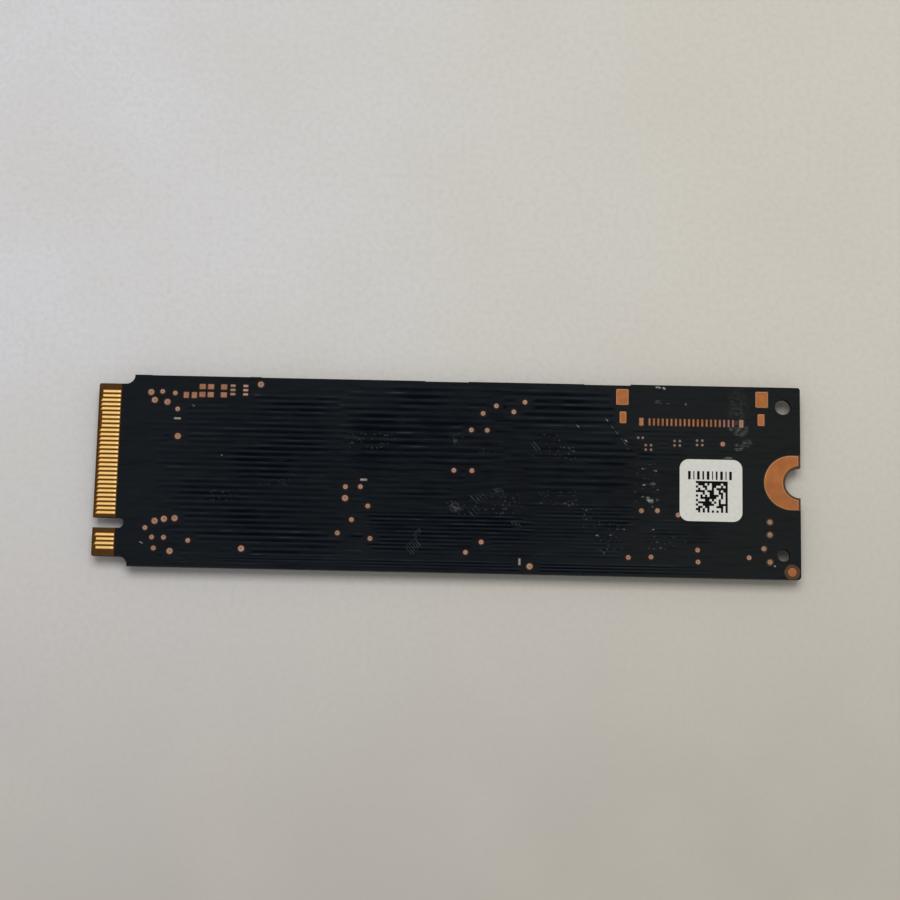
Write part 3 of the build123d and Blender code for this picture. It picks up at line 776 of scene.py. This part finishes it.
def copper_coat(bright, dull, rim, smears=None):
    """Copper that has dulled in patches, with a painted rim tone on sloping rims and greyer where smeared.
    The rim tone is painted light: a painted highlight where it is paler, painted shade where it is darker.
    """

    def paint(start):
        spot = start.place()
        patches = start.noise(spot, 0.8, 3.0)
        fine = start.noise(spot, 6.0, 2.0)
        tone = (patches * 0.7 + fine * 0.3).between(0.38, 0.62).blend(colour(*bright), colour(*dull))
        # Sloping rims take the rim tone: painted light and shade for how light falls on a rim.
        tone = start.flatness(0.965, 0.995).blend(colour(*rim), tone)
        if smears:
            smeared = touched(spot, smears) * patches.between(0.2, 0.6)
            tone = smeared.blend(tone, colour(134, 110, 108))
        return {
            "Base Color": tone,
            "Metallic": 0.45,
            "Roughness": 0.58 + patches * 0.12,
        }

    return paint


# The same rubbed marks as on the lacquer, where they run over the end of the socket's row
socket_smears = [(72.0, 6.2, 1.6, 1.4, 0, 0.5), (73.6, 6.2, 1.4, 1.4, 0, 1.0)]
land_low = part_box("spare_socket_lands")[0].z / mm
land_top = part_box("spare_socket_lands")[1].z / mm


def rounded(loop, radius):
    """An oblong outline with its corners rounded off by arcs."""
    arc_steps = 4
    found = []
    for step, corner in enumerate(loop):
        back = (loop[step - 1] - corner).normalized()
        ahead = (loop[(step + 1) % len(loop)] - corner).normalized()
        centre = corner + (back + ahead) * radius
        for part in range(arc_steps + 1):
            turn = math.pi / 2 * part / arc_steps
            found.append(centre - (ahead * math.cos(turn) + back * math.sin(turn)) * radius)
    return found


rim_drop = 0.02


def rimmed(trim, rim_width):
    """Profile of a land that stands inside its outline by the trim and slopes up at its rim."""
    return [(trim, land_low), (trim, land_top - rim_drop), (trim + rim_width, land_top)]


land_profile = rimmed(0.0, 0.05)
screw_profile = rimmed(0.0, 0.07)
trimmed_profile = rimmed(0.03, 0.04)
anchor_profile = rimmed(0.03, 0.08)
# Each coat's third tone is its painted rim tone: paler than the flat copper as a painted highlight for the
# bright copper, darker as painted shade for the others.
copper = finish("copper", copper_coat((160, 95, 40), (149, 88, 38), (186, 132, 90)))
dull_copper = finish("dull_copper", copper_coat((152, 114, 96), (138, 93, 67), (138, 96, 72)))
pale_copper = finish("pale_copper", copper_coat((154, 135, 123), (138, 118, 106), (138, 102, 80)))
grey_copper = finish("grey_copper", copper_coat((130, 120, 113), (116, 104, 96), (106, 84, 68)))
way_coat = copper_coat((152, 106, 70), (130, 92, 62), (134, 76, 34), socket_smears)
way_copper = finish("way_copper", way_coat)
wear("front_screw_land", copper)
chip_half_height = 0.2
anchor_half_height = 0.6


def split_lands(node, half_height, high_corner, low_corner):
    """The lands of a node in two lists, higher and lower ones, with their corners rounded."""
    higher = []
    lower = []
    for loop in outlines(node):
        if middle(loop)[1].y > half_height:
            higher.append(rounded(loop, high_corner))
        else:
            lower.append(rounded(loop, low_corner))
    return higher, lower


chip_lands, lead_lands = split_lands("spare_part_lands", chip_half_height, 0.14, 0.08)
anchor_lands, way_lands = split_lands("spare_socket_lands", anchor_half_height, 0.16, 0.1)
small_lands = [rounded(loop, 0.1) for loop in outlines("small_part_lands")]
land_groups = [
    ("bare_screw_land", outlines("rear_screw_land"), screw_profile, copper, "rear_screw_land"),
    ("bare_corner_target", outlines("corner_fiducial"), trimmed_profile, copper, "corner_fiducial"),
    ("bare_chip_lands", chip_lands, trimmed_profile, dull_copper, "spare_part_lands"),
    ("bare_lead_lands", lead_lands, land_profile, pale_copper, "spare_part_lands"),
    ("bare_anchor_lands", anchor_lands, anchor_profile, copper, "spare_socket_lands"),
    ("bare_way_lands", way_lands, trimmed_profile, way_copper, "spare_socket_lands"),
    ("bare_small_lands", small_lands, land_profile, grey_copper, "small_part_lands"),
]
for name, loops, profile, coat, node in land_groups:
    piece(name, raised(name, loops, profile), coat, "copper", node)

# Solder links: three pairs of the smallest lands are bridged by a drop of tin solder each, melted on and
# dulled since. Each row gives a link's middle from the contact edge and its half sizes.
solder_links = [
    (9.07, 6.0, 0.4, 0.13),
    (30.5, -0.65, 0.4, 0.14),
    (48.3, -9.65, 0.14, 0.4),
]
link_rise = 0.02
link_slope = 0.05
link_corner = 0.1
link_profile = [(0.0, land_low), (0.0, lacquer_top), (link_slope, lacquer_top + link_rise)]


def oblong(low, high):
    """The outline of an oblong between two opposite corners."""
    corners = [(low.x, low.y), (high.x, low.y), (high.x, high.y), (low.x, high.y)]
    return [Vector(corner) for corner in corners]


link_loops = []
for reach, rise, half_length, half_width in solder_links:
    centre = Vector((contact_edge + reach, rise))
    half = Vector((half_length, half_width))
    link_loops.append(rounded(oblong(centre - half, centre + half), link_corner))
solder = finish("solder", copper_coat((142, 136, 131), (122, 115, 109), (104, 96, 90)))
piece("solder_links", raised("solder_links", link_loops, link_profile), solder, "tin")

# Test pads: round copper pads, etched with the other lands and covered by a thin pale coat. Each has a raised
# rim and a browner middle where probes have pressed into it.
pad_trim = 0.04
pad_hollow = 0.004
round_pads = [true_round(loop, -pad_trim) for loop in pad_outlines]
pad_profile = [*land_profile, (0.08, land_top), (0.12, land_top - pad_hollow)]
probe_drift = 0.05
probed_share = (0.3, 0.52)
probed_sides = 18
probed_middles = []
for loop in round_pads:
    centre, half = middle(loop)
    aside = Vector([chance.uniform(-probe_drift, probe_drift) for direction in "xy"])
    probed_middles.append(circle(centre + aside, half.x * chance.uniform(*probed_share), probed_sides))
pad_copper = finish("pad_copper", copper_coat((156, 131, 116), (143, 111, 87), (150, 114, 92)))
probed_copper = finish("probed_copper", copper_coat((132, 92, 64), (124, 95, 78), (120, 86, 64)))
pad_mesh = raised("round_test_pads", round_pads, pad_profile)
piece("round_test_pads", pad_mesh, pad_copper, "copper", "rear_test_pads")
probed_profile = [(0.0, land_top - 0.01), (0.0, land_top - 0.003)]
piece("probed_middles", raised("probed_middles", probed_middles, probed_profile), probed_copper, "copper")

# Label: white coated paper with rounded corners, glued on the lacquer. It carries a square code of no meaning
# and a row of plain bars, printed in black ink.
label_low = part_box("rear_label")[0].z / mm
label_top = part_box("rear_label")[1].z / mm
ink_height = 0.003
ink_depth = 0.002
paper_edge = 0.015


def paint_paper(start):
    spot = start.place()
    fibre = start.noise(spot, 2.5, 4.0)
    return {
        "Base Color": fibre.between(0.3, 0.7).blend(colour(199, 200, 194), colour(207, 208, 202)),
        "Roughness": 0.55 + fibre * 0.1,
    }


def paint_ink(start):
    patchy = start.noise(start.place(), 9.0, 2.0)
    return {
        "Base Color": patchy.between(0.3, 0.8).blend(colour(4, 4, 5), colour(12, 12, 13)),
        "Roughness": 0.5 + patchy * 0.1,
        "Specular IOR Level": 0.04,
    }


paper_top = label_top - ink_height
label_profile = [(0.0, label_low), (0.0, paper_top - paper_edge), (paper_edge, paper_top)]
label_mesh = raised("paper_label", outlines("rear_label"), label_profile)
piece("paper_label", label_mesh, finish("label_paper", paint_paper), "label_paper", "rear_label")

code_modules = 14
code_pitch = 0.258
code_corner = Vector((contact_edge + 68.13, -3.62))


def is_dark(column, row):
    """Whether a module of the square code is inked: two solid sides, two dashed ones and a mixed field."""
    last = code_modules - 1
    if row == last or column == last:
        return True
    if row == 0:
        return column % 2 == 1
    if column == 0:
        return row % 2 == 1
    return (column**3 + 2 * row**3 + 3 * column * row) % 17 < 9


print_loops = []
for row in range(code_modules):
    column = 0
    while column < code_modules:
        run = 0
        while column + run < code_modules and is_dark(column + run, row):
            run += 1
        if run:
            low = code_corner + Vector((column, row)) * code_pitch
            print_loops.append(oblong(low, low + Vector((run, 1)) * code_pitch))
        column += run + 1
bar_height = 0.97
bar_gap = 0.3
bar_widths = (0.3, 0.12, 0.3, 0.2, 0.3, 0.12, 0.2, 0.3, 0.12, 0.3)
bar_corner = Vector((contact_edge + 67.25, 0.15))
for width in bar_widths:
    print_loops.append(oblong(bar_corner, bar_corner + Vector((width, bar_height))))
    bar_corner.x += width + bar_gap
ink_profile = [(0.0, paper_top - ink_depth), (0.0, label_top)]
ink_mesh = raised("label_print", print_loops, ink_profile)
piece("label_print", ink_mesh, finish("ink", paint_ink), "label_paper")

# Moulded packages of the front face, soldered on: controller, working memory and two flash memories in black
# compound, sawn square with softened edges and a round mark by their first pin. The power manager, switch and
# boot memory are small ones on tinned leads.
ball_packages = ["controller", "working_memory", "flash_memory_inner", "flash_memory_outer"]
ball_package_edge = 0.05
lead_packages = ["power_manager", "load_switch", "boot_memory"]
lead_package_edge = 0.03
lead_edge = 0.015
first_pin_marks = []
for packages, inset, radius in ((ball_packages, 1.1, 0.45), (lead_packages, 0.5, 0.22)):
    for node in packages:
        low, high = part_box(node)
        reach = low.x / mm - contact_edge + inset
        first_pin_marks.append((reach, high.y / mm - inset, radius, radius, 0, 1.0))


def paint_moulding(start):
    spot = start.place()
    grain = start.noise(spot, 11.0, 3.0)
    tone = grain.between(0.3, 0.75).blend(colour(26, 26, 27), colour(40, 40, 41))
    mark = touched(spot, first_pin_marks).between(0.0, 0.25)
    return {
        "Base Color": (mark * 0.7).blend(tone, colour(74, 74, 75)),
        "Roughness": 0.55 + grain * 0.2,
        "Normal": start.bump(grain, 0.25, 0.01 * mm),
    }


def paint_tin(start):
    spot = start.place()
    dulled = start.noise(spot, 3.0, 3.0)
    return {
        "Base Color": dulled.between(0.3, 0.7).blend(colour(188, 188, 184), colour(214, 214, 210)),
        "Metallic": 1.0,
        "Roughness": 0.3 + dulled * 0.2,
    }


moulding = finish("moulding", paint_moulding)
tin = finish("tin", paint_tin)


def softened(node, width):
    """A copy of a piece of the solid model with its sharp edges rounded off."""
    work = bmesh.new()
    work.from_mesh(nodes[node].data)
    bmesh.ops.remove_doubles(work, verts=work.verts, dist=weld_distance)
    bmesh.ops.dissolve_limit(work, angle_limit=math.radians(2), verts=work.verts, edges=work.edges)
    sharp = [edge for edge in work.edges if edge.calc_face_angle(0) > math.radians(20)]
    bmesh.ops.bevel(
        work, geom=sharp, offset=width * mm, offset_type="OFFSET", segments=2, profile=0.5, affect="EDGES",
        clamp_overlap=True,
    )
    return solid(node, work)


for node in ball_packages:
    piece("moulded_" + node, softened(node, ball_package_edge), moulding, "moulding", node)
for node in lead_packages:
    piece("moulded_" + node, softened(node, lead_package_edge), moulding, "moulding", node)
    leads = node + "_leads"
    piece("soldered_" + leads, softened(leads, lead_edge), tin, "tin", leads)

# Power inductors: three blocks side by side, each a coil pressed into grey metal powder and resin.
# They are soldered on by two tinned terminals each.
inductor_edge = 0.06
terminal_edge = 0.02


def paint_composite(start):
    grain = start.noise(start.place(), 8.0, 4.0)
    return {
        "Base Color": grain.between(0.3, 0.7).blend(colour(70, 70, 73), colour(98, 98, 100)),
        "Roughness": 0.6 + grain * 0.15,
        "Normal": start.bump(grain, 0.3, 0.01 * mm),
    }


composite = finish("composite", paint_composite)
for number in (1, 2, 3):
    node = f"power_inductor_{number}"
    piece("pressed_" + node, softened(node, inductor_edge), composite, "inductor_composite", node)
terminals = softened("inductor_terminals", terminal_edge)
piece("soldered_terminals", terminals, tin, "tin", "inductor_terminals")

# Chip parts: fired ceramic blocks between two tinned ends, by which they are soldered on. Capacitors are
# brown, and resistors and the fuse have a black coat.
chip_end_edge = 0.04


def paint_capacitor(start):
    speckle = start.noise(start.place(), 5.0, 3.0)
    return {
        "Base Color": speckle.between(0.3, 0.7).blend(colour(128, 100, 74), colour(152, 122, 92)),
        "Roughness": 0.45 + speckle * 0.1,
    }


def paint_resistor(start):
    speckle = start.noise(start.place(), 5.0, 2.0)
    return {
        "Base Color": speckle.between(0.3, 0.7).blend(colour(24, 24, 26), colour(36, 36, 38)),
        "Roughness": 0.35 + speckle * 0.1,
    }


capacitor = finish("capacitor_ceramic", paint_capacitor)
resistor = finish("resistor_ceramic", paint_resistor)
chip_parts = [
    ("bulk_capacitor_bodies", "bulk_capacitor_ends", capacitor, "capacitor_ceramic"),
    ("coupling_capacitor_bodies", "coupling_capacitor_ends", capacitor, "capacitor_ceramic"),
    ("bypass_capacitor_bodies", "bypass_capacitor_ends", capacitor, "capacitor_ceramic"),
    ("resistor_bodies", "resistor_ends", resistor, "resistor_ceramic"),
    ("input_fuse_body", "input_fuse_ends", resistor, "resistor_ceramic"),
]
for bodies, ends, ceramic, slot in chip_parts:
    wear(bodies, ceramic)
    piece("tinned_" + ends, softened(ends, chip_end_edge), tin, "tin", ends)

# Crystal: a tray of dark fired ceramic that holds the quartz, soldered on, with a lid of plated metal that is
# seamed onto it.
crystal_base_edge = 0.03
crystal_lid_edge = 0.04


def paint_crystal_base(start):
    speckle = start.noise(start.place(), 6.0, 2.0)
    return {
        "Base Color": speckle.blend(colour(54, 50, 46), colour(70, 66, 60)),
        "Roughness": 0.5 + speckle * 0.1,
    }


def paint_lid(start):
    brushed = start.noise(start.stretched(start.place(), 1.0, 9.0), 1.0, 3.0)
    return {
        "Base Color": brushed.blend(colour(196, 190, 172), colour(218, 213, 198)),
        "Metallic": 1.0,
        "Roughness": 0.28 + brushed * 0.16,
    }


base_mesh = softened("crystal_base", crystal_base_edge)
base_ceramic = finish("crystal_ceramic", paint_crystal_base)
piece("ceramic_crystal_base", base_mesh, base_ceramic, "crystal_ceramic", "crystal_base")
lid_mesh = softened("crystal_lid", crystal_lid_edge)
lid_metal = finish("crystal_metal", paint_lid)
piece("plated_crystal_lid", lid_mesh, lid_metal, "crystal_metal", "crystal_lid")

# Stage: a sheet of pale paper for the card to lie on, a large soft light on the far side and the camera above
# the near side. The paper carries painted shade in two spots under the card, which are seen through the
# tooling holes, and is painted darker towards the near side.
floor_half = 0.4
# Painted shade on the paper under the two tooling holes.
hole_painted_shadows = [(78.2, 8.4, 2.4, 1.9, 0, 0.42), (78.2, -8.4, 2.4, 1.9, 0, 0.6)]


def paint_floor(start):
    spot = start.place()
    along = spot.axis("X")
    across = spot.axis("Y")
    cloudy = start.noise(spot, 0.05, 4.0)
    fibre = start.noise(spot, 1.6, 5.0)
    # The paper is painted darker on the near side and paler on the far side: a painted falloff of the light.
    sideways = along.between(-55.0, 45.0)
    near_side_painted_shade = sideways.blend(colour(182, 178, 174), colour(180, 175, 166))
    far_side_painted_light = sideways.blend(colour(210, 211, 217), colour(206, 203, 194))
    tone = across.between(-60.0, 30.0).blend(near_side_painted_shade, far_side_painted_light)
    tone = (cloudy.between(0.35, 0.7) * 0.3).blend(tone, colour(200, 196, 186))
    # Painted shade where the tooling holes show the paper under the card.
    tone = touched(spot, hole_painted_shadows).blend(tone, colour(84, 82, 78))
    return {
        "Base Color": (fibre.between(0.35, 0.75) * 0.2).blend(tone, colour(178, 175, 168)),
        "Roughness": 0.85 + fibre * 0.1,
    }


floor_mesh = bpy.data.meshes.new("paper_floor")
floor_corners = [(-1, -1), (1, -1), (1, 1), (-1, 1)]
floor_points = [(x * floor_half, y * floor_half, 0.0) for x, y in floor_corners]
floor_mesh.from_pydata(floor_points, [], [(0, 1, 2, 3)])
floor_mesh.materials.append(finish("floor_paper", paint_floor))
floor = bpy.data.objects.new("paper_floor", floor_mesh)
bpy.context.scene.collection.objects.link(floor)

world = bpy.data.worlds.new("room")
bpy.context.scene.world = world
world.use_nodes = True
light_tint = (1.0, 0.985, 0.96)
background = world.node_tree.nodes["Background"]
background.inputs["Color"].default_value = (*light_tint, 1.0)
background.inputs["Strength"].default_value = 0.45

key_light = bpy.data.lights.new("window_light", "AREA")
key_light.shape = "RECTANGLE"
key_light.size = 0.45
key_light.size_y = 0.34
key_light.energy = 2.62
key_light.color = light_tint
key = bpy.data.objects.new("window_light", key_light)
key.location = (0.0, 0.25, 0.62)
key.rotation_euler = (-key.location).to_track_quat("-Z", "Y").to_euler()
bpy.context.scene.collection.objects.link(key)

camera_data = bpy.data.cameras.new("camera")
camera_data.sensor_width = 36.0
camera_data.lens = 85.98
camera_data.clip_start = 0.01
camera_data.clip_end = 10.0
camera = bpy.data.objects.new("camera", camera_data)
camera.location = (1.691 * mm, -41.037 * mm, 242.263 * mm)
camera_right = Vector((0.99977, 0.02131, -0.00224))
camera_up = Vector((-0.02055, 0.9834, 0.18028))
camera_back = camera_right.cross(camera_up)
camera.rotation_euler = Matrix((camera_right, camera_up, camera_back)).transposed().to_euler()
bpy.context.scene.collection.objects.link(camera)
bpy.context.scene.camera = camera
bpy.context.scene.view_settings.view_transform = "Standard"
